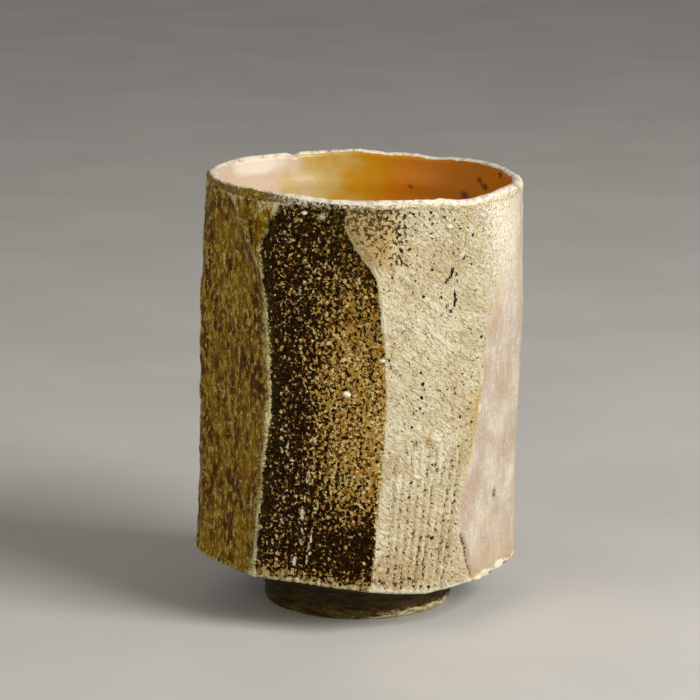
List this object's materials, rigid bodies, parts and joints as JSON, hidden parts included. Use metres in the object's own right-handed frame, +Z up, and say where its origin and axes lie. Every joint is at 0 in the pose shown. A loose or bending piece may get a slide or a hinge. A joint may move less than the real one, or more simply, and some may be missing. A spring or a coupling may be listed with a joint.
{
  "type": "yunomi tea cup",
  "caption": "Handleless tall stoneware tea cup with hand-cut facets, a rounded lip, a deep drinking well and a small foot ring.",
  "frame": {"origin": "centre of the foot ring's standing face, on the table", "axes": "+Z up out of the cup's mouth, -Y towards the dark facet at the front, +X to the right as seen from the front"},
  "size_m": [0.0693, 0.0684, 0.0924],
  "materials": {
    "clay": "bare wood-fired stoneware, dark brown and rough",
    "ash_glaze": "natural ash glaze, cream crust to the right and glossy olive brown to the left",
    "well_glaze": "satin amber glaze, paler on one side",
    "lip_glaze": "uneven cream crust with brown specks",
    "feldspar": "melted milky white lumps"
  },
  "bodies": {
    "root": {"clay_body": "clay", "foot_ring": "clay", "ash_glaze": "ash_glaze", "well_glaze": "well_glaze", "lip_glaze": "lip_glaze", "feldspar_stones": "feldspar"}
  },
  "joints": []
}
